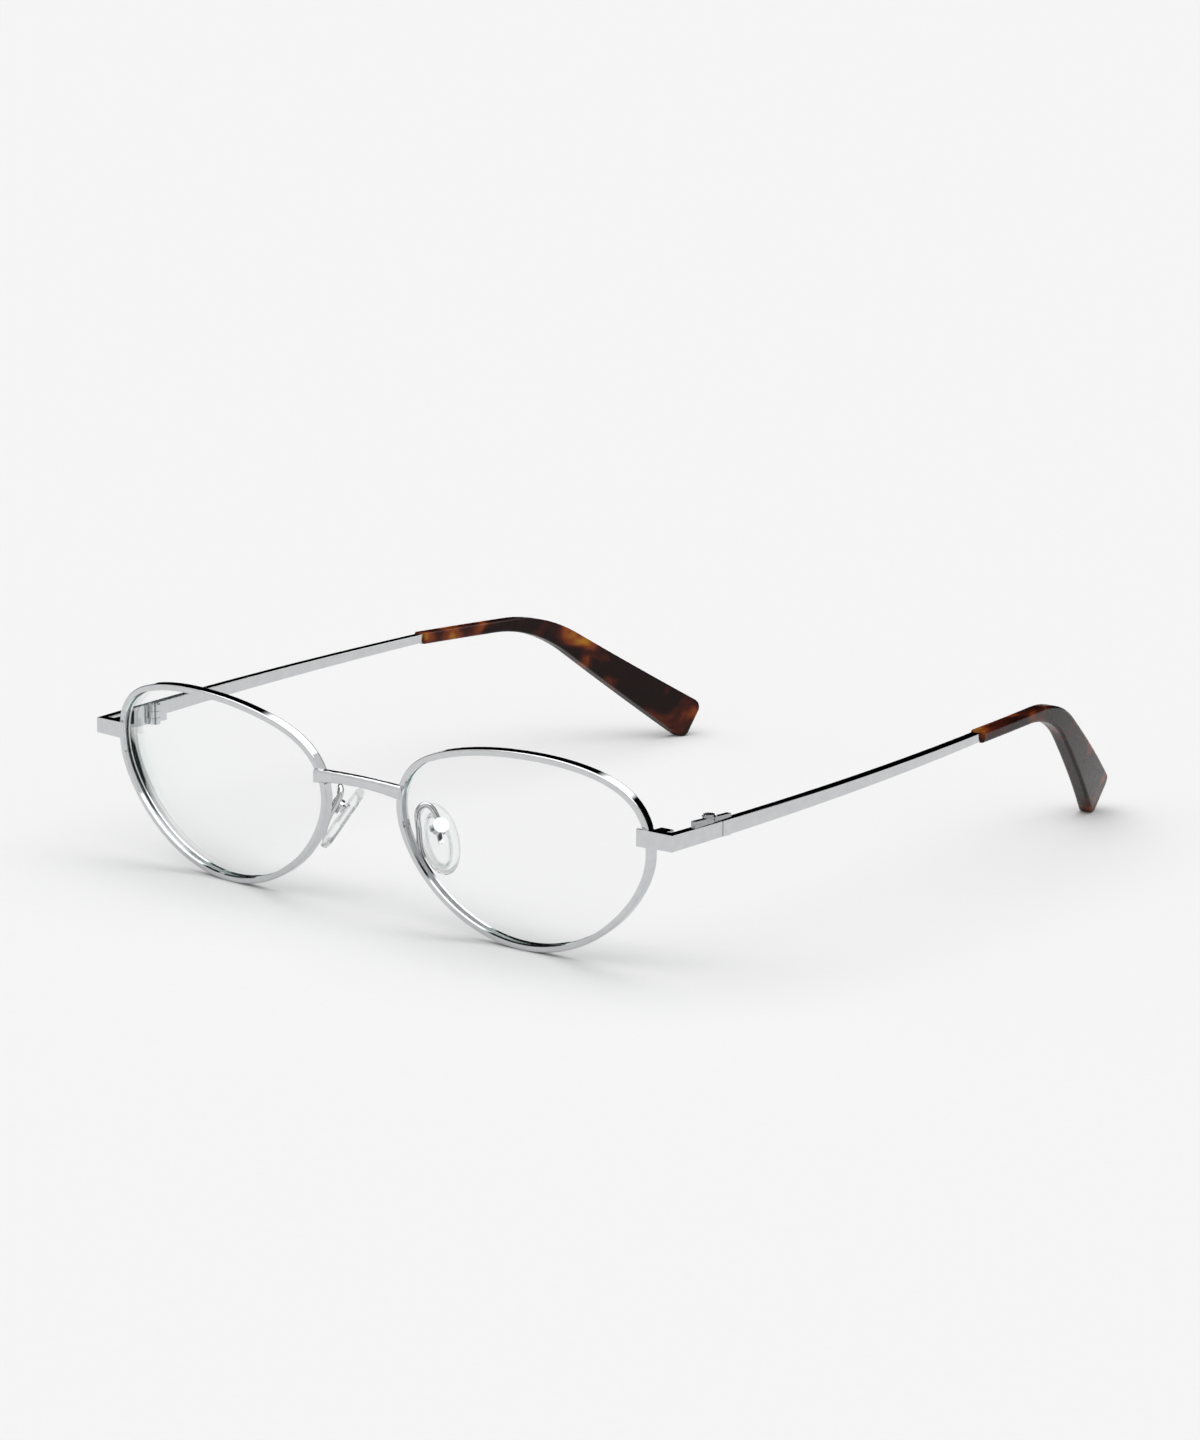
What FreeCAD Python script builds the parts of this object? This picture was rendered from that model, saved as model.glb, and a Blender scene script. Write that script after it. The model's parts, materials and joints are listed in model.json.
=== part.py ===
"""Full-rim metal eyeglasses: one STEP file per piece, all in one frame.

X runs across the face, Y back along the temples and Z up.  The drawing datum is the middle of the
bridge at the height of the lens centres; the finished set is stood on its own lowest points.
Sizes are in millimetres and degrees.  Each paired piece is drawn at +X and mirrored to -X.
"""
import FreeCAD
import Part
import math
import os

# Lens shape: the centre line of the rim, seen square on, at the drawn width
EYE_WIDTH = 52.2
EYE_DRAWN_WIDTH = 52.2
EYE_KNOTS = (
    (25.9, 4.3), (23.0, 11.0), (12.4, 15.4), (2.0, 16.1), (-12.9, 14.3), (-24.5, 7.8),
    (-26.2, 3.1), (-21.6, -8.4), (-16.1, -13.1), (-2.5, -17.6), (16.2, -12.1), (24.1, -3.4),
)
EYE_SAMPLES = 72
NOSE_WIDTH = 17.6             # between the rim centre lines across the nose
FACE_WRAP = 2.9               # each lens turned back at the temple side
FACE_TILT = 6.6               # both lenses leaning forward at the top
LENS_CURVE_R = 162.0

# Rim wire and lens
RIM_WALL = 1.05                # across the wire, in the plane of the lens
RIM_DEPTH = 1.85
RIM_EDGE_R = 0.3
GROOVE_DEPTH = 0.45
GROOVE_WIDTH = 1.0
LENS_THICK = 1.5
LENS_EDGE_CLEARANCE = 0.08    # round the lens, in the rim and in the groove
LENS_SIDE_CLEARANCE = 0.10    # on each face of the lens's tongue
RIM_SPLIT = 0.1

# Bridge bar
BRIDGE_LENGTH = 19.8
BRIDGE_DEPTH = 1.6
BRIDGE_FRONT = 1.5            # its front face, ahead of the datum
BRIDGE_TOP_END = 6.6
BRIDGE_TOP_MID = 6.85
BRIDGE_FOOT_END = 4.2
BRIDGE_FOOT_MID = 4.97
BRIDGE_EDGE_R = 0.7
BRIDGE_FOOT_R = 0.25

# Temple strip, with the end piece as its bent front end
CORNER_OUT = 5.5              # outer corner, outboard of the rim centre line's widest point
CORNER_BACK = 1.45
CORNER_TOP = 6.87
STRIP_THICK = 1.7
STRIP_FRONT_HEIGHT = 2.7
STRIP_BACK_HEIGHT = 1.6
STRIP_RISE = 2.9              # of the top edge, corner to tip
SPLAY = 4.8                   # outward heading at the corner
BOW_R = 530.0                 # plan radius of the strip
CORNER_TO_SEAM = 11.8
SEAM_GAP = 0.14
CORNER_TO_TIP = 85.1
PLATE_LENGTH = 7.2            # front plate of the end piece, corner to free end
PLATE_THICK = 1.6
PLATE_END_HEIGHT = 2.9
STRIP_EDGE_R = 0.12

# Temple tip
TIP_PROUD = 0.3               # above and below the strip
TIP_SIDE_PROUD = 0.65         # on each side of the strip
TIP_TOE_IN = 2.6              # turn towards the head where the tip meets the strip
TIP_BOW_R = 553.0
TIP_LEAN = 38.0               # the bow follows the blade, so its lines across lean back
TIP_TOP_BEND = 30.7           # from the front of the tip to the corner of its top line
TIP_FOOT_BEND = 27.7
TIP_TOP_END = 66.0
TIP_FOOT_END = 60.6
TIP_END_HEIGHT = 6.0          # between the two corners of the blade's end
TIP_TOP_BEND_R = 30.0
TIP_FOOT_BEND_R = 28.0
TIP_END_R = 1.6
TIP_EDGE_R = 0.6
TIP_BAND_LEAD = 8.0           # spare length of the band that the tip is cut from, in front
TIP_BAND_DEPTH = 30.0         # and below
CORE_WIDTH = 1.0
CORE_HEIGHT = 1.0
CORE_LENGTH = 50.0
CORE_ROOT = 0.5               # how far the core runs into the strip
CORE_STEEPER = 3.0            # than the tip's top line, to stay in the middle of the blade
CORE_CLEARANCE = 0.02

# Barrel hinge
BARREL_R = 1.15
BARREL_HEIGHT = 3.6
BARREL_OFFSET = 1.35          # axis from the inner face of the strip
BARREL_FOOT = 2.06            # below the middle of the strip at the seam
KNUCKLE_GAP = 0.08
KNUCKLE_CLEARANCE = 0.14
LEAF_THICK = 0.9
FRONT_LEAF_LENGTH = 4.6
TEMPLE_LEAF_LENGTH = 4.0
PIN_R = 0.55
PIN_CLEARANCE = 0.03
SCREW_HEAD_R = 0.95
SCREW_HEAD_HEIGHT = 0.3
SLOT_WIDTH = 0.25
SLOT_DEPTH = 0.15

# Rim lock: the pair of blocks that close the rim round the lens
LOCK_WIDTH = 2.5
LOCK_DEPTH = 2.6
LOCK_HEIGHT = 1.3            # each block
LOCK_MIDDLE = 5.5             # height of the rim split
LOCK_BACK = 4.9
LOCK_PIN_R = 0.5

# Nose pads
PAD_LENGTH = 13.0
PAD_WIDTH = 6.9
PAD_THICK = 1.9
PAD_FACE_R = 0.8
PAD_BACK_R = 0.35
PAD_SPLAY = 34.0              # turned to face backwards
PAD_FRONTAL = 34.0            # leaning apart towards the bottom
PAD_ROLL = 5.0
PAD_PIVOT = (11.8, 6.6, -1.6)
PAD_DROP = 1.4                # pad centre below the pivot, along the pad
PAD_STANDOFF = 1.05           # pivot to the back of the pad
BOX_R = 1.35
BOX_BACK = 1.25               # pivot to the outside of the box's closed end
BOX_WALL = 0.5
BOX_MOUTH = 0.65              # pivot to the open end
BOX_SLOT = 1.1
TAB_THICK = 0.86
TAB_R = 0.6
TAB_ROOT = 0.7                # how far the tab is set into the pad
PAD_PIN_R = 0.32
PAD_PIN_CLEARANCE = 0.03
PAD_PIN_HEAD_R = 0.55
PAD_PIN_HEAD = 0.3
ARM_R = 0.5
ARM_ROUTE = (
    (11.7, 2.7, -6.2), (10.9, 2.6, -4.1), (10.0, 3.3, -1.5), (9.1, 3.95, 0.4), (9.1, 4.5, 1.7),
    (9.8, 5.1, 2.3), (10.6, 5.8, 1.8), (11.1, 6.3, 0.7), (11.5, 6.6, -0.6),
)


def vec(x, y, z):
    return FreeCAD.Vector(x, y, z)


ORIGIN = vec(0, 0, 0)
BACK = vec(0, 1, 0)
UP = vec(0, 0, 1)


def mirrored(shape):
    return shape.mirror(ORIGIN, vec(1, 0, 0))


def single(shape):
    """The largest solid of a boolean result."""
    return max(shape.Solids, key=lambda solid: solid.Volume)


def notched(shape, fitted):
    """The shape cut to fit the pieces it is joined to, one after another."""
    for piece in fitted:
        shape = shape.cut(piece)
    return single(shape)


def cylinder(radius, start, end):
    return Part.makeCylinder(radius, (end - start).Length, start, end - start)


def box(x_range, y_range, z_range):
    low = vec(x_range[0], y_range[0], z_range[0])
    return Part.makeBox(x_range[1] - x_range[0], y_range[1] - y_range[0], z_range[1] - z_range[0], low)


def rounded_wire(corners, to_3d):
    """Closed outline through (a, b, radius) corners, each rounded by a tangent arc."""
    flat = [vec(a, b, 0) for a, b, _ in corners]
    edges = []
    last_end = None
    first_start = None
    for i, (_, _, radius) in enumerate(corners):
        here, before, after = flat[i], flat[i - 1], flat[(i + 1) % len(flat)]
        to_before = (before - here).normalize()
        to_after = (after - here).normalize()
        if radius > 0:
            half = to_before.getAngle(to_after) / 2
            reach = radius / math.tan(half)
            start, end = here + to_before * reach, here + to_after * reach
            centre = here + (to_before + to_after).normalize() * (radius / math.sin(half))
            middle = centre + (here - centre).normalize() * radius
        else:
            start = end = here
        if last_end is not None and (start - last_end).Length > 1e-6:
            edges.append(Part.makeLine(to_3d(last_end), to_3d(start)))
        if radius > 0:
            edges.append(Part.Arc(to_3d(start), to_3d(middle), to_3d(end)).toShape())
        first_start = first_start or start
        last_end = end
    if (first_start - last_end).Length > 1e-6:
        edges.append(Part.makeLine(to_3d(last_end), to_3d(first_start)))
    return Part.Wire(edges)


def side_prism(corners, x_range):
    """Solid with a (y, z, radius) outline seen from the side."""
    wire = rounded_wire(corners, lambda p: vec(x_range[0], p.x, p.y))
    return Part.Face(wire).extrude(vec(x_range[1] - x_range[0], 0, 0))


# ---- lens shape -----------------------------------------------------------------------------

def eye_curve():
    scale = EYE_WIDTH / EYE_DRAWN_WIDTH
    curve = Part.BSplineCurve()
    curve.interpolate(Points=[vec(u * scale, 0, v * scale) for u, v in EYE_KNOTS], PeriodicFlag=True)
    return curve


def eye_points(offset):
    """Points round the lens shape, moved outward by the offset, with their outward directions."""
    curve = eye_curve()
    first, last = curve.FirstParameter, curve.LastParameter
    points = []
    for i in range(EYE_SAMPLES):
        place = first + (last - first) * i / EYE_SAMPLES
        along = curve.tangent(place)[0]
        outward = vec(along.z, 0, -along.x).normalize()
        points.append((curve.value(place) + outward * offset, outward))
    return points


def closed_edge(points):
    curve = Part.BSplineCurve()
    curve.interpolate(Points=points, PeriodicFlag=True)
    return curve.toShape()


def dished(point):
    """The point carried back onto the lens sphere."""
    sag = LENS_CURVE_R - math.sqrt(LENS_CURVE_R ** 2 - point.x ** 2 - point.z ** 2)
    return vec(point.x, sag, point.z)


def swept_round_eye(section):
    """Closed sweep round the lens of a section given as (outward, back, radius) corners."""
    points = [(dished(p), outward) for p, outward in eye_points(0)]
    start, outward = points[0]
    profile = rounded_wire(section, lambda p: start + outward * p.x + BACK * p.y)
    sweep = Part.BRepOffsetAPI.MakePipeShell(Part.Wire([closed_edge([p for p, _ in points])]))
    sweep.setBiNormalMode(BACK)
    sweep.add(profile)
    sweep.build()
    sweep.makeSolid()
    return sweep.shape()


def dished_disc(edge_offset, thick):
    """Curved disc that fills the lens shape out to the given offset."""
    wire = Part.Wire([closed_edge([p for p, _ in eye_points(edge_offset)])])
    reach = 20
    prism = Part.Face(wire)
    prism.translate(vec(0, -reach, 0))
    prism = prism.extrude(vec(0, 2 * reach, 0))
    centre = vec(0, LENS_CURVE_R, 0)
    outer = Part.makeSphere(LENS_CURVE_R + thick / 2, centre)
    inner = Part.makeSphere(LENS_CURVE_R - thick / 2, centre)
    return single(prism.common(outer).cut(inner))


def eye_centre_x():
    widest = min(p.x for p, _ in eye_points(0))
    return NOSE_WIDTH / 2 - widest * math.cos(math.radians(FACE_WRAP))


def rim_reach_x():
    """Widest point of the rim centre line from the middle of the face."""
    widest = max(p.x for p, _ in eye_points(0))
    return eye_centre_x() + widest * math.cos(math.radians(FACE_WRAP))


def in_face(shape):
    """The shape moved from the lens's own datum to its place in the front."""
    placed = shape.copy()
    placed.rotate(ORIGIN, UP, FACE_WRAP)
    placed.rotate(ORIGIN, vec(1, 0, 0), FACE_TILT)
    placed.translate(vec(eye_centre_x(), 0, 0))
    return placed


def rim_outline(groove):
    half_wall, half_depth = RIM_WALL / 2, RIM_DEPTH / 2
    corners = [
        (-half_wall, -half_depth, 0.0),
        (half_wall, -half_depth, RIM_EDGE_R),
        (half_wall, half_depth, RIM_EDGE_R),
        (-half_wall, half_depth, 0.0),
    ]
    if groove:
        corners += [
            (-half_wall, GROOVE_WIDTH / 2, 0.0),
            (-half_wall + GROOVE_DEPTH, GROOVE_WIDTH / 2, 0.0),
            (-half_wall + GROOVE_DEPTH, -GROOVE_WIDTH / 2, 0.0),
            (-half_wall, -GROOVE_WIDTH / 2, 0.0),
        ]
    return corners


def rim_envelope():
    """Room taken up by a rim and the lens in it; joined pieces are notched to fit it."""
    ring = in_face(swept_round_eye(rim_outline(False)))
    window = in_face(dished_disc(-RIM_WALL / 4, RIM_DEPTH))
    return [ring, window]


def make_rim():
    rim = in_face(swept_round_eye(rim_outline(True)))
    reach = rim_reach_x()
    split = box((reach - 4, reach + 4), (-2, 8), (LOCK_MIDDLE - RIM_SPLIT / 2, LOCK_MIDDLE + RIM_SPLIT / 2))
    return single(rim.cut(split))


def make_lens():
    """Lens with a thinner tongue round its edge that sits in the rim's groove."""
    edge = -RIM_WALL / 2 - LENS_EDGE_CLEARANCE
    body = dished_disc(edge, LENS_THICK)
    tongue = dished_disc(edge + GROOVE_DEPTH, GROOVE_WIDTH - 2 * LENS_SIDE_CLEARANCE)
    return in_face(single(body.fuse(tongue)))


# ---- bridge ---------------------------------------------------------------------------------

def make_bridge(envelopes):
    half = BRIDGE_LENGTH / 2
    front = -BRIDGE_FRONT
    top = Part.Arc(vec(-half, front, BRIDGE_TOP_END), vec(0, front, BRIDGE_TOP_MID), vec(half, front, BRIDGE_TOP_END))
    foot = Part.Arc(vec(half, front, BRIDGE_FOOT_END), vec(0, front, BRIDGE_FOOT_MID), vec(-half, front, BRIDGE_FOOT_END))
    ends = [
        Part.makeLine(vec(half, front, BRIDGE_TOP_END), vec(half, front, BRIDGE_FOOT_END)),
        Part.makeLine(vec(-half, front, BRIDGE_FOOT_END), vec(-half, front, BRIDGE_TOP_END)),
    ]
    wire = Part.Wire([top.toShape(), ends[0], foot.toShape(), ends[1]])
    bar = Part.Face(wire).extrude(vec(0, BRIDGE_DEPTH, 0))
    across = [e for e in bar.Edges if e.Length > half]
    upper = [e for e in across if e.CenterOfMass.z > BRIDGE_TOP_END - 0.1]
    bar = bar.makeFillet(BRIDGE_EDGE_R, upper)
    lower = [e for e in bar.Edges if e.Length > half and e.CenterOfMass.z < BRIDGE_FOOT_MID]
    bar = bar.makeFillet(BRIDGE_FOOT_R, lower)
    return notched(bar, envelopes)


# ---- temple curve in plan -------------------------------------------------------------------

def corner_x():
    return rim_reach_x() + CORNER_OUT


def joint_y():
    return CORNER_BACK + CORNER_TO_TIP


def seam_y():
    return CORNER_BACK + CORNER_TO_SEAM


def bow_centre():
    heading = math.radians(SPLAY)
    return vec(corner_x() - BOW_R * math.cos(heading), CORNER_BACK + BOW_R * math.sin(heading), 0)


def bow_point(y, inset):
    """Point of the strip's plan curve at a distance back, set in from its outer face."""
    centre = bow_centre()
    heading = math.asin((centre.y - y) / BOW_R)
    return centre + vec(math.cos(heading), -math.sin(heading), 0) * (BOW_R - inset)


def tip_point(y, inset):
    """The same for the tip, which starts at the strip's end with its own turn and bow."""
    start = bow_point(joint_y(), 0)
    heading = math.asin((bow_centre().y - joint_y()) / BOW_R) - math.radians(TIP_TOE_IN)
    centre = start - vec(math.cos(heading), -math.sin(heading), 0) * TIP_BOW_R
    heading = math.asin((centre.y - y) / TIP_BOW_R)
    return centre + vec(math.cos(heading), -math.sin(heading), 0) * (TIP_BOW_R - inset)


def plan_band(curve, y_range, insets, upward):
    """Tall solid between two insets of a plan curve, drawn out along the upward direction."""
    y_low, y_high = y_range
    middle = (y_low + y_high) / 2
    outer = [curve(y, insets[0]) for y in (y_low, middle, y_high)]
    inner = [curve(y, insets[1]) for y in (y_high, middle, y_low)]
    edges = [
        Part.Arc(*outer).toShape(),
        Part.makeLine(outer[2], inner[0]),
        Part.Arc(*inner).toShape(),
        Part.makeLine(inner[2], outer[0]),
    ]
    reach = 40
    face = Part.Face(Part.Wire(edges))
    face.translate(upward * -reach)
    return face.extrude(upward * (2 * reach))


def tip_band(insets):
    """Tall band that the tip or its core is cut from; its lines across lean with the blade."""
    level = strip_top(joint_y()) - STRIP_BACK_HEIGHT / 2
    lean = math.tan(math.radians(TIP_LEAN))
    drop = level + TIP_BAND_DEPTH
    y_range = (joint_y() - TIP_BAND_LEAD, joint_y() + TIP_TOP_END + drop * lean)
    band = plan_band(tip_point, y_range, insets, vec(0, lean, 1))
    band.translate(vec(0, 0, level))
    return band


# ---- strip, end piece and temple ------------------------------------------------------------

def strip_top(y):
    return CORNER_TOP + STRIP_RISE * (y - CORNER_BACK) / CORNER_TO_TIP


def strip_height(y):
    return STRIP_FRONT_HEIGHT + (STRIP_BACK_HEIGHT - STRIP_FRONT_HEIGHT) * (y - CORNER_BACK) / CORNER_TO_TIP


def strip_between(y_low, y_high):
    corners = [
        (y_low, strip_top(y_low), 0.0),
        (y_high, strip_top(y_high), 0.0),
        (y_high, strip_top(y_high) - strip_height(y_high), 0.0),
        (y_low, strip_top(y_low) - strip_height(y_low), 0.0),
    ]
    band = plan_band(bow_point, (y_low - 1, y_high + 1), (0, STRIP_THICK), UP)
    strip = single(band.common(side_prism(corners, (0, corner_x() + 20))))
    long_edges = [e for e in strip.Edges if e.Length > (y_high - y_low) * 0.9]
    return strip.makeFillet(STRIP_EDGE_R, long_edges)


def make_end_piece(envelopes):
    """Flat plate across the rim, bent back into the fixed stub of the temple strip."""
    stub = strip_between(CORNER_BACK, seam_y() - SEAM_GAP / 2)
    lean = math.tan(math.radians(FACE_WRAP))
    x_corner, x_end = corner_x(), corner_x() - PLATE_LENGTH
    y_end = CORNER_BACK - PLATE_LENGTH * lean
    x_inner = x_corner - STRIP_THICK / 2
    plan = [
        vec(x_corner, CORNER_BACK, 0), vec(x_end, y_end, 0), vec(x_end, y_end + PLATE_THICK, 0),
        vec(x_inner, CORNER_BACK + PLATE_THICK, 0), vec(x_corner, CORNER_BACK + 0.02, 0),
    ]
    slab = Part.Face(Part.makePolygon(plan + [plan[0]])).extrude(vec(0, 0, 20))
    middle = CORNER_TOP - STRIP_FRONT_HEIGHT / 2
    front = [
        vec(x_corner, -5, middle + STRIP_FRONT_HEIGHT / 2), vec(x_end, -5, middle + PLATE_END_HEIGHT / 2),
        vec(x_end, -5, middle - PLATE_END_HEIGHT / 2), vec(x_corner, -5, middle - STRIP_FRONT_HEIGHT / 2),
    ]
    outline = Part.Face(Part.makePolygon(front + [front[0]])).extrude(vec(0, 20, 0))
    plate = single(slab.common(outline))
    return notched(plate.fuse(stub).removeSplitter(), envelopes)


def tip_side(floor, sunk):
    """Side outline of the tip; the foot corner of its end is sunk to allow for its rounding."""
    top = strip_top(joint_y()) + TIP_PROUD
    foot = strip_top(joint_y()) - strip_height(joint_y()) - TIP_PROUD
    return [
        (joint_y(), top, 0.0),
        (joint_y() + TIP_TOP_BEND, top, TIP_TOP_BEND_R),
        (joint_y() + TIP_TOP_END, floor + TIP_END_HEIGHT, TIP_END_R),
        (joint_y() + TIP_FOOT_END, floor - sunk, TIP_END_R),
        (joint_y() + TIP_FOOT_BEND, foot, TIP_FOOT_BEND_R),
        (joint_y(), foot, 0.0),
    ]


def tip_side_on(floor):
    """The same outline with its rounded foot corner resting on the floor."""
    sunk = 0
    for _ in range(3):
        wire = rounded_wire(tip_side(floor, sunk), lambda p: vec(0, p.x, p.y))
        sunk += wire.optimalBoundingBox(False).ZMin - floor
    return tip_side(floor, sunk)


def make_core(floor, clearance):
    """Wire that carries the tip: it follows the middle of the tip's front half."""
    tall = CORE_HEIGHT + 2 * clearance
    top = strip_top(joint_y()) - (STRIP_BACK_HEIGHT - CORE_HEIGHT) / 2 + clearance
    fall = (top - floor - TIP_END_HEIGHT) / (TIP_TOP_END - TIP_TOP_BEND)
    drop = math.atan(fall) + math.radians(CORE_STEEPER)
    bend = joint_y() + (TIP_TOP_BEND + TIP_FOOT_BEND) / 2
    foot_bend = bend - tall * math.tan(drop / 2)
    end = joint_y() + CORE_LENGTH + clearance
    end_top = top - (end - bend) * math.tan(drop)
    start = joint_y() - CORE_ROOT
    corners = [
        (start, top, 0.0),
        (bend, top, TIP_TOP_BEND_R),
        (end, end_top, 0.0),
        (end, end_top - tall / math.cos(drop), 0.0),
        (foot_bend, top - tall, TIP_TOP_BEND_R),
        (start, top - tall, 0.0),
    ]
    inset = (STRIP_THICK - CORE_WIDTH) / 2 - clearance
    band = tip_band((inset, STRIP_THICK - inset))
    return single(band.common(side_prism(corners, (0, corner_x() + 20))))


def make_tip(floor):
    outline = tip_side_on(floor)
    band = tip_band((-TIP_SIDE_PROUD, STRIP_THICK + TIP_SIDE_PROUD))
    tip = single(band.common(side_prism(outline, (0, corner_x() + 20))))
    front = joint_y() + 0.01
    rounded = [e for e in tip.Edges if e.BoundBox.YMax > front and e.BoundBox.XLength + e.BoundBox.ZLength > 0.2]
    along = [e for e in rounded if e.Length > 1.0 and abs(e.tangentAt(e.FirstParameter).x) < 0.8]
    tip = tip.makeFillet(TIP_EDGE_R, along)
    return single(tip.cut(make_core(floor, CORE_CLEARANCE)))


def make_temple(floor):
    strip = strip_between(seam_y() + SEAM_GAP / 2, joint_y())
    return single(strip.fuse(make_core(floor, 0)))


# ---- hinge ----------------------------------------------------------------------------------

def hinge_axis():
    return bow_point(seam_y(), STRIP_THICK + BARREL_OFFSET)


def barrel_foot():
    return strip_top(seam_y()) - strip_height(seam_y()) / 2 - BARREL_FOOT + SCREW_HEAD_HEIGHT / 2


def barrel_stage(low, high, radius):
    """Upright cylinder on the hinge axis between two heights above the barrel's foot."""
    axis = hinge_axis()
    return cylinder(radius, axis + UP * (barrel_foot() + low), axis + UP * (barrel_foot() + high))


def knuckle_stages():
    """Heights of the three knuckles, front, temple and front, from the foot up."""
    each = (BARREL_HEIGHT - 2 * KNUCKLE_GAP) / 3
    step = each + KNUCKLE_GAP
    return [(i * step, i * step + each) for i in range(3)]


def hinge_leaf(y_range, own, other):
    """Leaf with its own knuckles, cut clear of the other leaf's."""
    corners = [
        (y_range[0], barrel_foot(), 0.0), (y_range[1], barrel_foot(), 0.0),
        (y_range[1], barrel_foot() + BARREL_HEIGHT, 0.0), (y_range[0], barrel_foot() + BARREL_HEIGHT, 0.0),
    ]
    insets = (STRIP_THICK, STRIP_THICK + LEAF_THICK)
    band = plan_band(bow_point, (y_range[0] - 1, y_range[1] + 1), insets, UP)
    leaf = single(band.common(side_prism(corners, (0, corner_x() + 20))))
    for low, high in own:
        leaf = leaf.fuse(barrel_stage(low, high, BARREL_R))
    for low, high in other:
        room = barrel_stage(low - KNUCKLE_GAP, high + KNUCKLE_GAP, BARREL_R + KNUCKLE_CLEARANCE)
        leaf = leaf.cut(room)
    for low, high in own:
        leaf = leaf.fuse(barrel_stage(low, high, BARREL_R))
    bore = barrel_stage(-1, BARREL_HEIGHT + 1, PIN_R + PIN_CLEARANCE)
    return single(leaf.cut(bore).removeSplitter())


def make_front_leaf():
    bottom, middle, top = knuckle_stages()
    return hinge_leaf((seam_y() - FRONT_LEAF_LENGTH, seam_y() - SEAM_GAP / 2), (bottom, top), (middle,))


def make_temple_leaf():
    bottom, middle, top = knuckle_stages()
    return hinge_leaf((seam_y() + SEAM_GAP / 2, seam_y() + TEMPLE_LEAF_LENGTH), (middle,), (bottom, top))


def slotted(head, centre, along):
    """Cut the driver slot across a screw's end."""
    across = along.cross(BACK if abs(along.y) < 0.9 else UP).normalize()
    size = 4 * SCREW_HEAD_R
    groove = Part.makeBox(size, SLOT_WIDTH, 2 * SLOT_DEPTH, vec(-size / 2, -SLOT_WIDTH / 2, -SLOT_DEPTH))
    turn = FreeCAD.Rotation(across, along.cross(across), along)
    groove.Placement = FreeCAD.Placement(centre, turn)
    return single(head.cut(groove))


def make_hinge_screw():
    shank = barrel_stage(0, BARREL_HEIGHT, PIN_R)
    head = barrel_stage(BARREL_HEIGHT, BARREL_HEIGHT + SCREW_HEAD_HEIGHT, SCREW_HEAD_R)
    top = hinge_axis() + UP * (barrel_foot() + BARREL_HEIGHT + SCREW_HEAD_HEIGHT)
    return slotted(shank.fuse(head).removeSplitter(), top, UP)


# ---- rim lock -------------------------------------------------------------------------------

def lock_axis():
    return vec(rim_reach_x() + RIM_WALL / 2 + LOCK_WIDTH / 2 - 0.1, LOCK_BACK - LOCK_PIN_R * 2 - 0.1, 0)


def make_lock_block(upper, neighbours):
    side = 1 if upper else -1
    near = LOCK_MIDDLE + side * RIM_SPLIT / 2
    far = near + side * LOCK_HEIGHT
    x_mid = lock_axis().x
    block = box((x_mid - LOCK_WIDTH / 2, x_mid + LOCK_WIDTH / 2), (LOCK_BACK - LOCK_DEPTH, LOCK_BACK), sorted((near, far)))
    bore = cylinder(LOCK_PIN_R + PIN_CLEARANCE, lock_axis() - UP * 20, lock_axis() + UP * 20)
    return notched(block, neighbours + [bore])


def make_lock_screw():
    foot = LOCK_MIDDLE - RIM_SPLIT / 2 - LOCK_HEIGHT
    top = LOCK_MIDDLE + RIM_SPLIT / 2 + LOCK_HEIGHT
    axis = lock_axis()
    shank = cylinder(LOCK_PIN_R, axis + UP * foot, axis + UP * top)
    head = cylinder(LOCK_PIN_R * 1.7, axis + UP * (foot - SCREW_HEAD_HEIGHT), axis + UP * foot)
    return slotted(shank.fuse(head).removeSplitter(), axis + UP * (foot - SCREW_HEAD_HEIGHT), UP * -1)


# ---- nose pads ------------------------------------------------------------------------------
# Drawn about the pad's pivot: +X away from the nose, Y across the pad, Z up along it.

def on_nose(shape):
    placed = shape.copy()
    placed.rotate(ORIGIN, vec(1, 0, 0), PAD_ROLL)
    placed.rotate(ORIGIN, BACK, -PAD_FRONTAL)
    placed.rotate(ORIGIN, UP, -PAD_SPLAY)
    placed.translate(vec(*PAD_PIVOT))
    return placed


def pad_pin_bore():
    reach = BOX_R + 1
    return cylinder(PAD_PIN_R + PAD_PIN_CLEARANCE, vec(0, -reach, 0), vec(0, reach, 0))


def make_pad_box():
    """Round cup with a slot across it for the pad's tab."""
    cup = cylinder(BOX_R, vec(BOX_BACK, 0, 0), vec(-BOX_MOUTH, 0, 0))
    slot = box((-BOX_MOUTH - 1, BOX_BACK - BOX_WALL), (-BOX_SLOT / 2, BOX_SLOT / 2), (-BOX_R - 1, BOX_R + 1))
    return on_nose(single(cup.cut(slot).cut(pad_pin_bore())))


def make_pad_tab():
    """Metal tab moulded into the pad; the pad rocks on its eye."""
    eye = cylinder(TAB_R, vec(0, -TAB_THICK / 2, 0), vec(0, TAB_THICK / 2, 0))
    stem = box((-PAD_STANDOFF - TAB_ROOT, 0), (-TAB_THICK / 2, TAB_THICK / 2), (-TAB_R, TAB_R))
    foot = box((-PAD_STANDOFF - TAB_ROOT, -PAD_STANDOFF - 0.2), (-TAB_THICK / 2, TAB_THICK / 2), (-2.4, TAB_R + 0.6))
    return on_nose(single(eye.fuse([stem, foot]).removeSplitter().cut(pad_pin_bore())))


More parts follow.
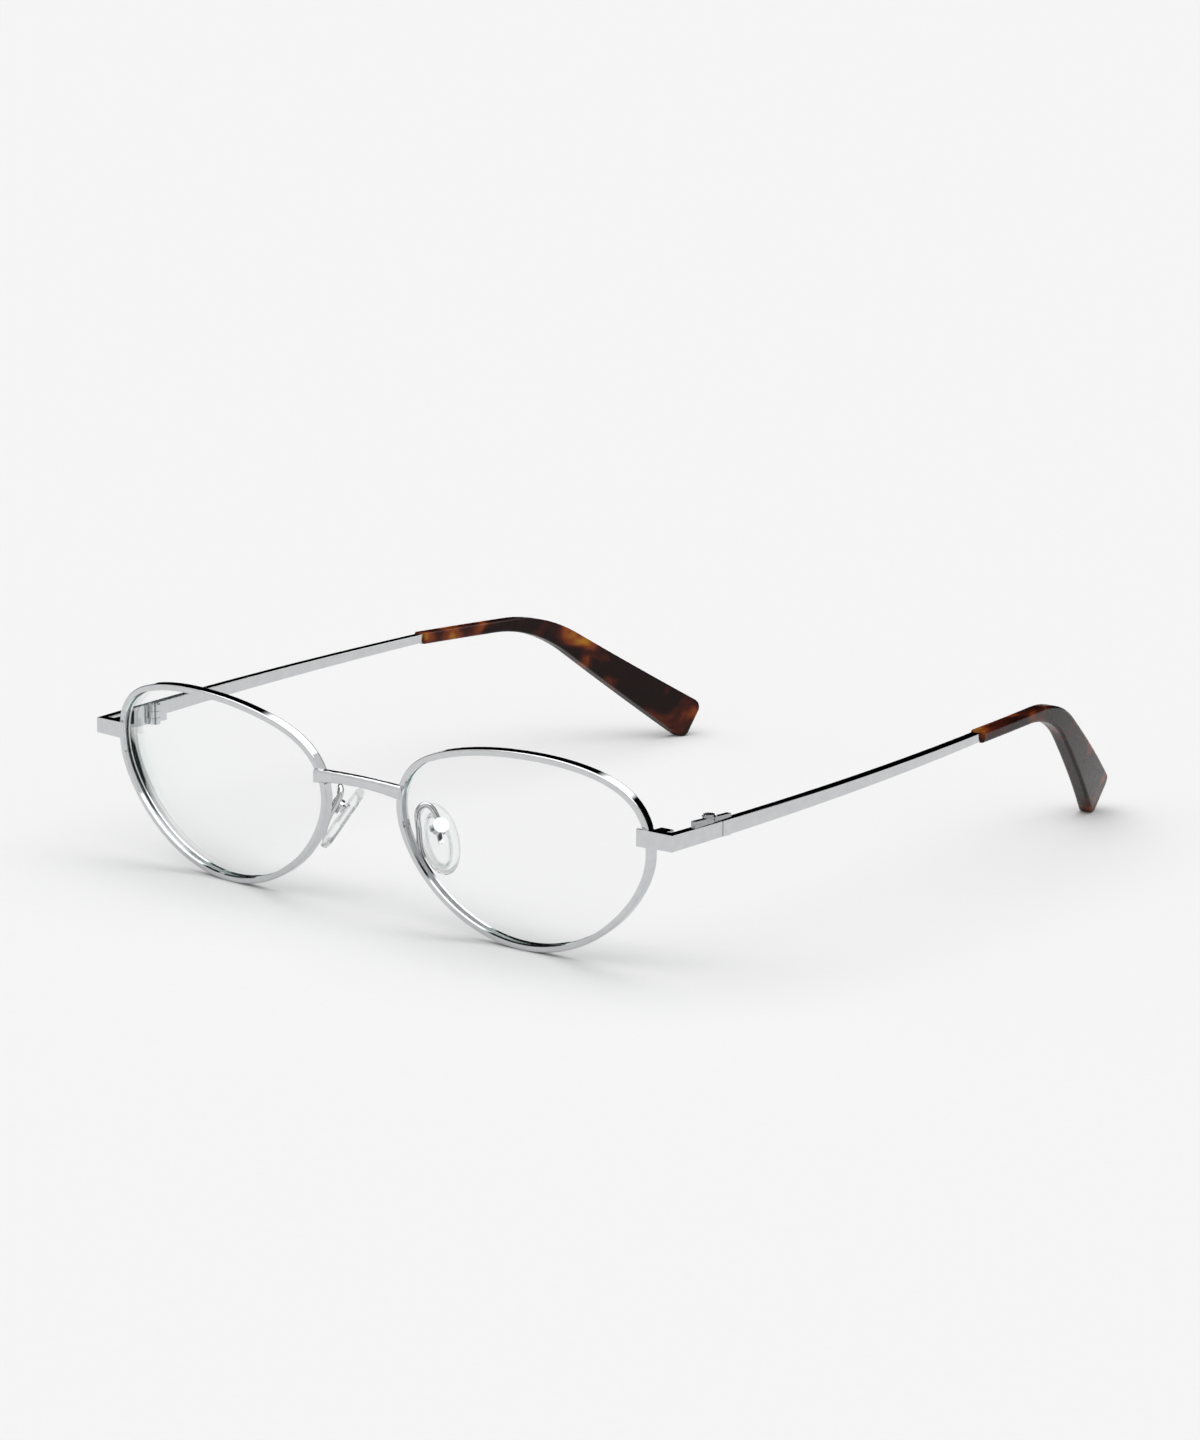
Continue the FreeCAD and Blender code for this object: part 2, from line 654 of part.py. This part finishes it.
def make_pad(tab):
    ring = Part.Ellipse(ORIGIN, PAD_LENGTH / 2, PAD_WIDTH / 2).toShape()
    ring.rotate(ORIGIN, BACK, 90)
    ring.translate(vec(-PAD_STANDOFF, 0, -PAD_DROP))
    pad = Part.Face(Part.Wire([ring])).extrude(vec(-PAD_THICK, 0, 0))
    skin = [e for e in pad.Edges if e.BoundBox.XMax < -PAD_STANDOFF - PAD_THICK + 0.01]
    pad = pad.makeFillet(PAD_FACE_R, skin)
    rear = [e for e in pad.Edges if e.BoundBox.XMin > -PAD_STANDOFF - 0.01]
    pad = pad.makeFillet(PAD_BACK_R, rear)
    return single(on_nose(pad).cut(tab))


def make_pad_pin():
    reach = math.sqrt(BOX_R ** 2 - PAD_PIN_HEAD_R ** 2)
    shank = cylinder(PAD_PIN_R, vec(0, reach, 0), vec(0, -reach, 0))
    head = cylinder(PAD_PIN_HEAD_R, vec(0, -BOX_R - PAD_PIN_HEAD, 0), vec(0, -BOX_R, 0))
    neck = cylinder(PAD_PIN_R, vec(0, -BOX_R, 0), vec(0, 0, 0))
    return on_nose(single(shank.fuse([head, neck]).removeSplitter()))


def make_pad_arm(neighbours):
    curve = Part.BSplineCurve()
    curve.interpolate(Points=[vec(*p) for p in ARM_ROUTE])
    path = Part.Wire([curve.toShape()])
    start = vec(*ARM_ROUTE[0])
    along = curve.tangent(curve.FirstParameter)[0]
    ring = Part.Wire([Part.makeCircle(ARM_R, start, along)])
    arm = path.makePipeShell([ring], True, True)
    return notched(arm, neighbours)


# ---- the set --------------------------------------------------------------------------------

def right_side(envelopes):
    """Every paired piece, on the +X side."""
    rim = make_rim()
    floor = rim.optimalBoundingBox(False).ZMin
    end_piece = make_end_piece(envelopes)
    blocks = envelopes + [end_piece]
    pad_box = make_pad_box()
    tab = make_pad_tab()
    return {
        "rim": rim,
        "lens": make_lens(),
        "end_piece": end_piece,
        "lock_upper": make_lock_block(True, blocks),
        "lock_lower": make_lock_block(False, blocks),
        "lock_screw": make_lock_screw(),
        "hinge_front_leaf": make_front_leaf(),
        "hinge_temple_leaf": make_temple_leaf(),
        "hinge_screw": make_hinge_screw(),
        "temple": make_temple(floor),
        "temple_tip": make_tip(floor),
        "pad_arm": make_pad_arm(envelopes + [pad_box]),
        "pad_box": pad_box,
        "pad_pin": make_pad_pin(),
        "pad_tab": tab,
        "nose_pad": make_pad(tab),
    }


def whole_set():
    envelopes = rim_envelope()
    parts = {"bridge": make_bridge(envelopes + [mirrored(e) for e in envelopes])}
    for name, shape in right_side(envelopes).items():
        parts[name + "_right"] = shape
        parts[name + "_left"] = mirrored(shape)
    return parts


def stood_on_floor(parts):
    """All parts moved so the middle of the set's underside is the origin."""
    boxes = [shape.optimalBoundingBox(False) for shape in parts.values()]
    low, high = min(b.YMin for b in boxes), max(b.YMax for b in boxes)
    shift = vec(0, -(low + high) / 2, -min(b.ZMin for b in boxes))
    for shape in parts.values():
        shape.translate(shift)
    return parts


os.makedirs("parts", exist_ok=True)
for name, shape in stood_on_floor(whole_set()).items():
    shape.exportStep("parts/" + name + ".step")
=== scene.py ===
import json
import math

import bmesh
import bpy
from mathutils import Matrix, Vector

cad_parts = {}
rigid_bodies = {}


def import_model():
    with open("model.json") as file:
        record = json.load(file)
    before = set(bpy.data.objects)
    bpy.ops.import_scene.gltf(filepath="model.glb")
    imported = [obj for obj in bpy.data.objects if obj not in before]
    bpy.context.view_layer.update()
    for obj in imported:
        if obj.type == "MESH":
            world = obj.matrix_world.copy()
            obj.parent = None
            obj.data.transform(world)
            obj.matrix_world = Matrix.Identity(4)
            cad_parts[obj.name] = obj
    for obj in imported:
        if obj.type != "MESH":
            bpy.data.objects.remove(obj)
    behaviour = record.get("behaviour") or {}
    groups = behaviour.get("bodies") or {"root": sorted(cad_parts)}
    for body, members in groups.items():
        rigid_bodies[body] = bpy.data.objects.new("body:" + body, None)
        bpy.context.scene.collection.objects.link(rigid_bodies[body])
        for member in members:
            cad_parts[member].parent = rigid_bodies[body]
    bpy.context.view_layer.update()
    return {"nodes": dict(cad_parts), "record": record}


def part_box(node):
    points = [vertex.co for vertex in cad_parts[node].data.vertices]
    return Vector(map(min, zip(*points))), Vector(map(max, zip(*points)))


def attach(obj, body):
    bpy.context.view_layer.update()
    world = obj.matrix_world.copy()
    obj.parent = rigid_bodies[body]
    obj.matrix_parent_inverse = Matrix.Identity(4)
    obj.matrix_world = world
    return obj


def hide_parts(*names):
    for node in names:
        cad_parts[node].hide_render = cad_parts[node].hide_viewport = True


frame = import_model()

MM = 0.001


# ---- selecting and shaping ------------------------------------------------------------------

def clear_selection():
    for other in bpy.context.view_layer.objects:
        other.select_set(False)


def start_piece(name):
    """Names the primitive just added and opens it in face mode."""
    piece = bpy.context.active_object
    piece.name = piece.data.name = name
    bpy.ops.object.mode_set(mode="EDIT")
    bpy.ops.mesh.select_mode(type="FACE")
    bpy.ops.mesh.select_all(action="DESELECT")
    return piece


def pick(piece, wanted):
    """Selects the faces whose middle and outward direction pass the test."""
    bpy.ops.mesh.select_all(action="DESELECT")
    cage = bmesh.from_edit_mesh(piece.data)
    for face in cage.faces:
        face.select_set(wanted(face.calc_center_median(), face.normal))
    bmesh.update_edit_mesh(piece.data)


def finish_modifiers(piece):
    for modifier in list(piece.modifiers):
        bpy.ops.object.modifier_apply(modifier=modifier.name)


def settle(piece):
    """Puts the piece's place into its mesh, so that its object sits at the origin."""
    bpy.ops.object.transform_apply(location=True, rotation=True, scale=True)


# ---- materials ------------------------------------------------------------------------------

def linear(code):
    """An sRGB hex colour as the linear values that a shader takes."""
    channels = [int(code[i:i + 2], 16) / 255 for i in (1, 3, 5)]
    return [c / 12.92 if c <= 0.04045 else ((c + 0.055) / 1.055) ** 2.4 for c in channels] + [1.0]


def add(tree, kind, inputs=(), **settings):
    """One node with its settings; an input is given a value or the output that feeds it."""
    made = tree.nodes.new("ShaderNode" + kind)
    for name, value in settings.items():
        setattr(made, name, value)
    for socket, value in dict(inputs).items():
        if isinstance(value, bpy.types.NodeSocket):
            tree.links.new(value, made.inputs[socket])
        else:
            made.inputs[socket].default_value = value
    return made


def new_material(name):
    material = bpy.data.materials.new(name)
    material.use_nodes = True
    material.node_tree.nodes.clear()
    return material, material.node_tree


def per_size(millimetres):
    """Texture scale for features of a real size, on coordinates in metres."""
    return 1.0 / (millimetres * MM)


def ramp(tree, factor, stops):
    made = add(tree, "ValToRGB", {"Fac": factor})
    bar = made.color_ramp.elements
    while len(bar) < len(stops):
        bar.new(0.5)
    for element, (place, code) in zip(bar, stops):
        element.position = place
        element.color = linear(code)
    return made.outputs["Color"]


def chrome_plate():
    """Brass or nickel silver, buffed and chrome plated: a neutral mirror, with the faint
    waviness that a buffing wheel leaves and a few hair-fine wipe marks in the gloss."""
    material, tree = new_material("polished_chrome_plate")
    place = add(tree, "TexCoord").outputs["Object"]
    buffed = add(tree, "TexNoise", {"Vector": place, "Scale": per_size(1.6), "Detail": 2.0})
    wiped = add(tree, "TexNoise", {"Vector": place, "Scale": per_size(0.35), "Detail": 3.0, "Roughness": 0.6})
    tint = ramp(tree, buffed.outputs["Fac"], [(0.3, "#C8C9CB"), (0.7, "#CFD0D1")])
    gloss = add(tree, "MapRange", {
        "Value": wiped.outputs["Fac"], "From Min": 0.3, "From Max": 0.75, "To Min": 0.02, "To Max": 0.05})
    # Real buffing waves are under a micron high; these are drawn deeper so that they show.
    waves = add(tree, "Bump", {"Height": buffed.outputs["Fac"], "Strength": 1.0, "Distance": 0.0015 * MM})
    shader = add(tree, "BsdfPrincipled", {
        "Base Color": tint, "Metallic": 1.0, "Roughness": gloss.outputs["Result"],
        "Normal": waves.outputs["Normal"]})
    add(tree, "OutputMaterial", {"Surface": shader.outputs["BSDF"]})
    return material


def turned_steel(name, node):
    """Stainless screw stock, turned: darker than the plating, with fine rings about its middle."""
    material, tree = new_material(name)
    low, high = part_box(node)
    place = add(tree, "TexCoord").outputs["Object"]
    centred = add(tree, "Mapping", {"Vector": place, "Location": -(low + high) / 2})
    # Turning marks are about 0.05 mm apart; they are drawn at 0.12 mm so that they show.
    rings = add(tree, "TexWave", {
        "Vector": centred.outputs["Vector"], "Scale": per_size(0.12) / 20, "Distortion": 0.6},
        wave_type="RINGS", rings_direction="SPHERICAL")
    tint = ramp(tree, rings.outputs["Fac"], [(0.0, "#A4A7AB"), (1.0, "#B9BBBF")])
    gloss = add(tree, "MapRange", {"Value": rings.outputs["Fac"], "To Min": 0.14, "To Max": 0.26})
    cut = add(tree, "Bump", {"Height": rings.outputs["Fac"], "Strength": 0.6, "Distance": 0.004 * MM})
    shader = add(tree, "BsdfPrincipled", {
        "Base Color": tint, "Metallic": 1.0, "Roughness": gloss.outputs["Result"],
        "Normal": cut.outputs["Normal"]})
    add(tree, "OutputMaterial", {"Surface": shader.outputs["BSDF"]})
    return material


def tortoise_acetate(name, node, shift):
    """Cellulose acetate, tumbled to a soft gloss: near-black and red-brown clouds about 6 mm long
    with amber between them, which thin out towards the blade."""
    material, tree = new_material(name)
    low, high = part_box(node)
    place = add(tree, "TexCoord").outputs["Object"]
    drawn_out = add(tree, "Mapping", {"Vector": place, "Location": shift, "Scale": (1.0, 0.62, 1.0)})
    clouds = add(tree, "TexNoise", {
        "Vector": drawn_out.outputs["Vector"], "Scale": per_size(6.5), "Detail": 2.5, "Roughness": 0.45,
        "Distortion": 0.5})
    height = add(tree, "SeparateXYZ", {"Vector": place})
    fade = add(tree, "MapRange", {
        "Value": height.outputs["Y"], "From Min": low.y, "From Max": high.y, "To Min": 0.07, "To Max": -0.10})
    mixed = add(tree, "Math", {0: clouds.outputs["Fac"], 1: fade.outputs["Result"]}, operation="ADD")
    colour = ramp(tree, mixed.outputs["Value"], [
        (0.0, "#0C0605"), (0.44, "#180806"), (0.54, "#3A130B"), (0.63, "#743512"), (0.74, "#A87620")])
    polish = add(tree, "TexNoise", {"Vector": place, "Scale": per_size(0.9), "Detail": 3.0})
    gloss = add(tree, "MapRange", {
        "Value": polish.outputs["Fac"], "From Min": 0.3, "From Max": 0.7, "To Min": 0.20, "To Max": 0.30})
    soft = add(tree, "TexNoise", {"Vector": place, "Scale": per_size(3.0), "Detail": 1.0})
    waves = add(tree, "Bump", {"Height": soft.outputs["Fac"], "Strength": 0.5, "Distance": 0.03 * MM})
    shader = add(tree, "BsdfPrincipled", {
        "Base Color": colour, "Roughness": gloss.outputs["Result"], "IOR": 1.48, "Specular IOR Level": 0.15,
        "Normal": waves.outputs["Normal"]})
    add(tree, "OutputMaterial", {"Surface": shader.outputs["BSDF"]})
    return material


def coated_lens():
    """Moulded plastic lens with an anti-reflection coating: all but invisible, with a faint
    green-blue gleam at the edges and a trace of handling in the gloss."""
    material, tree = new_material("coated_clear_lens")
    place = add(tree, "TexCoord").outputs["Object"]
    smear = add(tree, "TexNoise", {"Vector": place, "Scale": per_size(9.0), "Detail": 3.0, "Roughness": 0.6})
    gloss = add(tree, "MapRange", {
        "Value": smear.outputs["Fac"], "From Min": 0.35, "From Max": 0.7, "To Min": 0.0, "To Max": 0.06})
    clear = add(tree, "BsdfTransparent", {"Color": linear("#FEFEFE")})
    gleam = add(tree, "BsdfGlossy", {"Color": linear("#E3F2EE"), "Roughness": gloss.outputs["Result"]})
    # A coated surface mirrors about half a percent head on, as bare glass of index 1.15 would.
    share = add(tree, "Fresnel", {"IOR": 1.15})
    mixed = add(tree, "MixShader", {
        0: share.outputs["Fac"], 1: clear.outputs["BSDF"], 2: gleam.outputs["BSDF"]})
    add(tree, "OutputMaterial", {"Surface": mixed.outputs["Shader"]})
    return material


SILICONE_STRAIGHT = 0.6


def clear_silicone():
    """Moulded silicone rubber: water clear, with the soft satin that a blasted mould leaves."""
    material, tree = new_material("moulded_clear_silicone")
    place = add(tree, "TexCoord").outputs["Object"]
    skin = add(tree, "TexNoise", {"Vector": place, "Scale": per_size(0.5), "Detail": 2.0})
    gloss = add(tree, "MapRange", {
        "Value": skin.outputs["Fac"], "From Min": 0.3, "From Max": 0.7, "To Min": 0.03, "To Max": 0.10})
    dimples = add(tree, "Bump", {"Height": skin.outputs["Fac"], "Strength": 0.4, "Distance": 0.004 * MM})
    shader = add(tree, "BsdfPrincipled", {
        "Base Color": linear("#FBFCFC"), "Roughness": gloss.outputs["Result"], "IOR": 1.41,
        "Transmission Weight": 1.0, "Normal": dimples.outputs["Normal"]})
    # Silicone this thin bends light less than a solid ball of it would, so part passes straight.
    straight = add(tree, "BsdfTransparent", {"Color": linear("#FBFCFC")})
    mixed = add(tree, "MixShader", {
        0: SILICONE_STRAIGHT, 1: shader.outputs["BSDF"], 2: straight.outputs["BSDF"]})
    add(tree, "OutputMaterial", {"Surface": mixed.outputs["Shader"]})
    return material


def finish_nodes():
    """Gives every carried-over node its finish."""
    plate, lens = chrome_plate(), coated_lens()
    clouds = {"left": (0.013, 0.004, 0.002), "right": (0.031, 0.017, 0.009)}
    for row in frame["record"]["subparts"]:
        node, slot = row["node"], row["material_slot"]
        if slot == "chrome_metal":
            finish = plate
        elif slot == "clear_lens":
            finish = lens
        elif slot == "steel_screw":
            finish = turned_steel("turned_steel_" + node, node)
        elif slot == "tortoise_acetate":
            finish = tortoise_acetate("tortoise_acetate_" + node, node, clouds[node.rsplit("_", 1)[1]])
        else:
            continue
        frame["nodes"][node].material_slots[0].material = finish


# ---- nose pads ------------------------------------------------------------------------------

PAD_LENGTH, PAD_WIDTH, PAD_THICK = 13.0 * MM, 6.9 * MM, 1.9 * MM
PAD_SPLAY, PAD_FRONTAL, PAD_ROLL = 34.0, 34.0, 5.0
PAD_SLAB = 0.46                                              # share of the thickness in the slab
SKIN_STEPS = ((0.55, 0.30), (0.80, 0.16), (0.95, 0.05))      # inset and rise, mm
BACK_STEPS = ((0.45, 0.26), (0.75, 0.02), (0.35, -0.10))
BLOCK_INSET, BLOCK_RISE = 0.25, 0.28


def pad_turn(side):
    """The pad's tilt on the nose: rolled, leaned out, then turned to face back."""
    turn = (Matrix.Rotation(math.radians(-PAD_SPLAY), 4, "Z")
            @ Matrix.Rotation(math.radians(-PAD_FRONTAL), 4, "Y")
            @ Matrix.Rotation(math.radians(PAD_ROLL), 4, "X"))
    return Matrix.Diagonal((-1, 1, 1, 1)) @ turn if side == "left" else turn


def make_nose_pad(side, finish):
    """Oval clear pad: a crowned skin side, a rolled edge, and a block at the back round the tab."""
    name = "silicone_pad_" + side
    clear_selection()
    bpy.ops.mesh.primitive_cylinder_add(
        vertices=40, radius=PAD_WIDTH / 2, depth=PAD_THICK * PAD_SLAB, rotation=(0, math.pi / 2, 0))
    bpy.ops.object.transform_apply(location=True, rotation=True, scale=True)
    pad = start_piece(name)
    bpy.ops.mesh.select_all(action="SELECT")
    bpy.ops.transform.resize(value=(1, 1, PAD_LENGTH / PAD_WIDTH))
    skin = lambda middle, out: out.x < -0.9
    for inset, rise in SKIN_STEPS:
        pick(pad, skin)
        bpy.ops.mesh.inset(thickness=inset * MM)
        bpy.ops.transform.translate(value=(-rise * MM, 0, 0))
    back = lambda middle, out: out.x > 0.9
    for inset, rise in BACK_STEPS:
        pick(pad, back)
        bpy.ops.mesh.inset(thickness=inset * MM)
        bpy.ops.transform.translate(value=(rise * MM, 0, 0))
    pick(pad, back)
    bpy.ops.mesh.inset(thickness=BLOCK_INSET * MM)
    bpy.ops.transform.translate(value=(BLOCK_RISE * MM, 0, 0))
    bpy.ops.object.mode_set(mode="OBJECT")
    smooth = pad.modifiers.new("rounded", "SUBSURF")
    smooth.levels = smooth.render_levels = 2
    finish_modifiers(pad)
    low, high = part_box("nose_pad_" + side)
    pad.matrix_world = Matrix.Translation((low + high) / 2) @ pad_turn(side)
    settle(pad)
    bpy.ops.object.mode_set(mode="EDIT")
    bpy.ops.mesh.select_all(action="SELECT")
    bpy.ops.mesh.normals_make_consistent(inside=False)
    bpy.ops.object.mode_set(mode="OBJECT")
    bpy.ops.object.shade_smooth()
    pad.data.materials.append(finish)
    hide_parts("nose_pad_" + side)
    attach(pad, "pad_" + side)
    return pad


# ---- floor, light and camera ----------------------------------------------------------------

FLOOR_SIZE = 40                # metres


def lay_floor():
    """Matt white paper, large enough to fill every view from above."""
    clear_selection()
    bpy.ops.mesh.primitive_plane_add(size=FLOOR_SIZE, location=(0, 0, 0))
    floor = bpy.context.active_object
    floor.name = "paper_floor"
    material, tree = new_material("matt_white_paper")
    place = add(tree, "TexCoord").outputs["Object"]
    fibre = add(tree, "TexNoise", {"Vector": place, "Scale": per_size(1.5), "Detail": 2.0})
    tone = ramp(tree, fibre.outputs["Fac"], [(0.0, "#D8D8D8"), (1.0, "#DADADA")])
    shader = add(tree, "BsdfDiffuse", {"Color": tone})
    add(tree, "OutputMaterial", {"Surface": shader.outputs["BSDF"]})
    floor.data.materials.append(material)


TOP_LIGHT, SIDE_LIGHT = 2.1, 0.85
TENT_EDGE_LOW, TENT_EDGE_HIGH = 0.66, 0.72    # sine of the height where the overhead light begins
DARK_MIDDLE = (-0.423, 0.906, 0.0)            # level direction of the middle of the dark room
DARK_EDGE_LOW, DARK_EDGE_HIGH = 0.37, 0.43    # cosine of the angle where it ends


def light_studio():
    """A white tent overhead, a dark room beyond the far edge of the table."""
    world = bpy.data.worlds.new("studio")
    bpy.context.scene.world = world
    world.use_nodes = True
    tree = world.node_tree
    tree.nodes.clear()
    way = add(tree, "SeparateXYZ", {"Vector": add(tree, "TexCoord").outputs["Generated"]})
    overhead = add(tree, "MapRange", {
        "Value": way.outputs["Z"], "From Min": TENT_EDGE_LOW, "From Max": TENT_EDGE_HIGH,
        "To Min": 0.0, "To Max": 1.0},
        interpolation_type="SMOOTHSTEP")
    ahead = add(tree, "VectorMath", {
        0: add(tree, "TexCoord").outputs["Generated"], 1: DARK_MIDDLE}, operation="DOT_PRODUCT")
    beyond = add(tree, "MapRange", {
        "Value": ahead.outputs["Value"], "From Min": DARK_EDGE_LOW, "From Max": DARK_EDGE_HIGH,
        "To Min": 1.0, "To Max": 0.0},
        interpolation_type="SMOOTHSTEP")
    sides = add(tree, "Math", {0: beyond.outputs["Result"], 1: SIDE_LIGHT}, operation="MULTIPLY")
    top = add(tree, "Math", {0: overhead.outputs["Result"], 1: TOP_LIGHT}, operation="MULTIPLY")
    whole = add(tree, "Math", {0: top.outputs["Value"], 1: sides.outputs["Value"]}, operation="MAXIMUM")
    studio = add(tree, "Background", {"Color": linear("#FCFCFC"), "Strength": whole.outputs["Value"]})
    paper = add(tree, "Background", {"Color": linear("#F4F4F4"), "Strength": 1.0})
    seen = add(tree, "LightPath")
    mixed = add(tree, "MixShader", {
        0: seen.outputs["Is Camera Ray"], 1: studio.outputs["Background"], 2: paper.outputs["Background"]})
    add(tree, "OutputWorld", {"Surface": mixed.outputs["Shader"]})


CAMERA_PLACE = (0.46221, -0.564037, 0.181337)
CAMERA_AZIMUTH, CAMERA_ELEVATION, CAMERA_ROLL = 0.6973, 0.2150, 0.0074
SENSOR_WIDTH, FOCAL_LENGTH = 36.0, 102.25


def set_camera():
    lens = bpy.data.cameras.new("camera")
    camera = bpy.data.objects.new("camera", lens)
    bpy.context.scene.collection.objects.link(camera)
    azimuth, elevation, roll = CAMERA_AZIMUTH, CAMERA_ELEVATION, CAMERA_ROLL
    back = Vector((math.sin(azimuth) * math.cos(elevation), -math.cos(azimuth) * math.cos(elevation),
                   math.sin(elevation)))
    level = Vector((math.cos(azimuth), math.sin(azimuth), 0))
    upright = back.cross(level)
    right = level * math.cos(roll) + upright * math.sin(roll)
    up = upright * math.cos(roll) - level * math.sin(roll)
    turn = Matrix((right, up, back)).transposed()
    camera.matrix_world = Matrix.Translation(CAMERA_PLACE) @ turn.to_4x4()
    lens.sensor_width = SENSOR_WIDTH
    lens.lens = FOCAL_LENGTH
    lens.clip_start, lens.clip_end = 0.01, 100.0
    bpy.context.scene.camera = camera
    bpy.context.scene.view_settings.view_transform = "Standard"


finish_nodes()
silicone = clear_silicone()
for side in ("left", "right"):
    make_nose_pad(side, silicone)
lay_floor()
light_studio()
set_camera()
